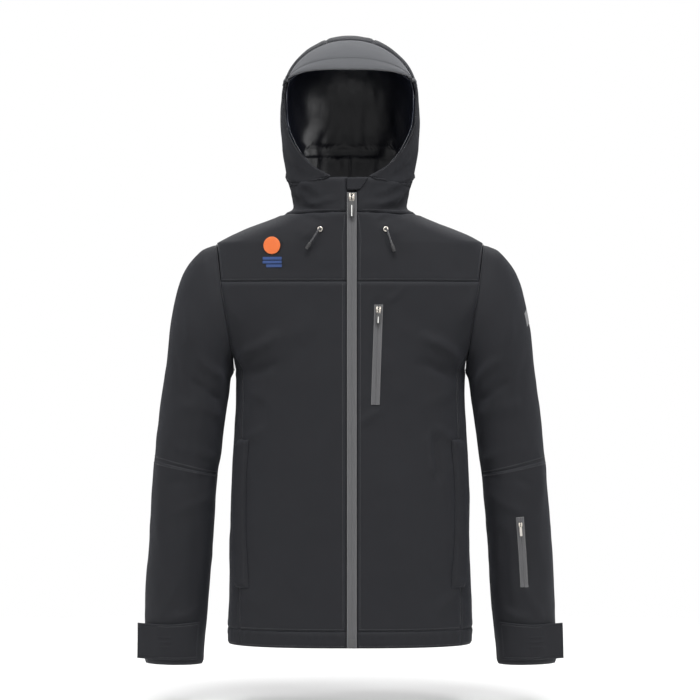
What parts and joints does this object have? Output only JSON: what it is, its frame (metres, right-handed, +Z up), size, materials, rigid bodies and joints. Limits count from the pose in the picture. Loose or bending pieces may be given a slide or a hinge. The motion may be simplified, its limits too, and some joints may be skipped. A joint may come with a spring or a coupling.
{
  "type": "ski jacket",
  "caption": "Hooded men's ski jacket, zipped up as if worn, with zipped pockets, cuff tabs, a graphite visor panel, a hood that folds back and sleeves that lift and bend.",
  "frame": {"origin": "middle of the neck, at the height where the shoulders carry the jacket", "axes": "+Z up, -Y towards the jacket's front, +X to the wearer's left"},
  "size_m": [0.7444, 0.2734, 1.0963],
  "materials": {
    "shell_fabric": "matt black woven shell",
    "visor_fabric": "graphite melange woven shell",
    "lining_fabric": "shiny black lining",
    "zip_tape": "coated grey zip tape",
    "metal": "cast and plated",
    "black_plastic": "moulded",
    "cord_fabric": "braided cord",
    "badge": "orange printed patch",
    "reflective": "reflective film"
  },
  "bodies": {
    "torso": {"back_panel": "shell_fabric", "back_yoke": "shell_fabric", "chest_badge": "badge", "chest_pocket_bag": "lining_fabric", "chest_yoke_left": "shell_fabric", "chest_yoke_right": "shell_fabric", "chest_zip_tape": "zip_tape", "chin_guard": "shell_fabric", "collar_left": "shell_fabric", "collar_right": "shell_fabric", "cord_end_left": "black_plastic", "cord_end_right": "black_plastic", "eyelet_left": "metal", "eyelet_right": "metal", "front_panel_left": "shell_fabric", "front_panel_right": "shell_fabric", "hand_pocket_bag_left": "lining_fabric", "hand_pocket_bag_right": "lining_fabric", "hand_pocket_welt_left": "shell_fabric", "hand_pocket_welt_right": "shell_fabric", "hand_zip_tape_left": "zip_tape", "hand_zip_tape_right": "zip_tape", "hanger_loop": "cord_fabric", "hem_band_back": "shell_fabric", "hem_band_left": "shell_fabric", "hem_band_right": "shell_fabric", "hood_cord_left": "cord_fabric", "hood_cord_right": "cord_fabric", "main_zip_box": "metal", "main_zip_tape_left": "zip_tape", "main_zip_tape_right": "zip_tape", "powder_skirt": "lining_fabric", "side_panel_left": "shell_fabric", "side_panel_right": "shell_fabric", "storm_flap": "shell_fabric", "torso_lining": "lining_fabric"},
    "hood": {"hood_side_left": "shell_fabric", "hood_side_right": "shell_fabric", "hood_center_panel": "shell_fabric", "hood_visor": "visor_fabric", "hood_lining": "lining_fabric", "hood_adjuster": "black_plastic"},
    "sleeve_left": {"sleeve_upper_left": "shell_fabric", "sleeve_reflector": "reflective"},
    "sleeve_right": {"sleeve_upper_right": "shell_fabric"},
    "forearm_left": {"sleeve_lower_left": "shell_fabric", "arm_zip_tape": "zip_tape"},
    "forearm_right": {"sleeve_lower_right": "shell_fabric"},
    "main_slider": {"main_slider": "metal"},
    "main_puller": {"main_puller": "black_plastic"},
    "chest_slider": {"chest_slider": "metal"},
    "chest_puller": {"chest_puller": "black_plastic"},
    "arm_slider": {"arm_slider": "metal"},
    "arm_puller": {"arm_puller": "black_plastic"},
    "hand_slider_left": {"hand_slider_left": "metal"},
    "hand_slider_right": {"hand_slider_right": "metal"},
    "cuff_tab_left": {"cuff_tab_left": "shell_fabric"},
    "cuff_tab_right": {"cuff_tab_right": "shell_fabric"}
  },
  "joints": [
    {"name": "hood_fold", "type": "hinge", "parent": "torso", "child": "hood", "pos_m": [0, 0.089, 0.022], "axis": [-1, 0, 0], "range_deg": [0, 95]},
    {"name": "arm_raise_left", "type": "hinge", "parent": "torso", "child": "sleeve_left", "pos_m": [0.232, 0, -0.052], "axis": [0, -1, 0], "range_deg": [0, 75]},
    {"name": "elbow_bend_left", "type": "hinge", "parent": "sleeve_left", "child": "forearm_left", "pos_m": [0.2865, -0.066, -0.4425], "axis": [-0.9754, 0, -0.2204], "range_deg": [0, 90]},
    {"name": "cuff_tab_open_left", "type": "hinge", "parent": "forearm_left", "child": "cuff_tab_left", "pos_m": [0.2607, -0.0355, -0.7098], "axis": [0.067, 0.021, -0.9975], "range_deg": [0, 110]},
    {"name": "hand_zip_left", "type": "slide", "parent": "torso", "child": "hand_slider_left", "axis": [0.0032, -0.0525, -0.9986], "range_m": [0, 0.215]},
    {"name": "arm_raise_right", "type": "hinge", "parent": "torso", "child": "sleeve_right", "pos_m": [-0.232, 0, -0.052], "axis": [0, 1, 0], "range_deg": [0, 75]},
    {"name": "elbow_bend_right", "type": "hinge", "parent": "sleeve_right", "child": "forearm_right", "pos_m": [-0.2865, -0.066, -0.4425], "axis": [-0.9754, 0, 0.2204], "range_deg": [0, 90]},
    {"name": "cuff_tab_open_right", "type": "hinge", "parent": "forearm_right", "child": "cuff_tab_right", "pos_m": [-0.2607, -0.0355, -0.7098], "axis": [0.067, -0.021, 0.9975], "range_deg": [0, 110]},
    {"name": "hand_zip_right", "type": "slide", "parent": "torso", "child": "hand_slider_right", "axis": [-0.0032, -0.0525, -0.9986], "range_m": [0, 0.215]},
    {"name": "main_zip", "type": "slide", "parent": "torso", "child": "main_slider", "axis": [0, -0.04, -0.9992], "range_m": [0, 0.745]},
    {"name": "main_puller_swing", "type": "hinge", "parent": "main_slider", "child": "main_puller", "pos_m": [0.003, -0.10687, 0.02521], "axis": [-1, 0, 0], "range_deg": [0, 110]},
    {"name": "chest_zip", "type": "slide", "parent": "torso", "child": "chest_slider", "axis": [-0.0348, -0.0386, -0.9986], "range_m": [0, 0.155]},
    {"name": "chest_puller_swing", "type": "hinge", "parent": "chest_slider", "child": "chest_puller", "pos_m": [0.04899, -0.11327, -0.16881], "axis": [-0.9994, 0, 0.0348], "range_deg": [0, 110]},
    {"name": "arm_zip", "type": "slide", "parent": "forearm_left", "child": "arm_slider", "axis": [0.0658, 0.0469, -0.9967], "range_m": [0, 0.088]},
    {"name": "arm_puller_swing", "type": "hinge", "parent": "arm_slider", "child": "arm_puller", "pos_m": [0.29517, -0.06646, -0.54109], "axis": [-0.9978, 0, -0.0658], "range_deg": [0, 110]}
  ]
}
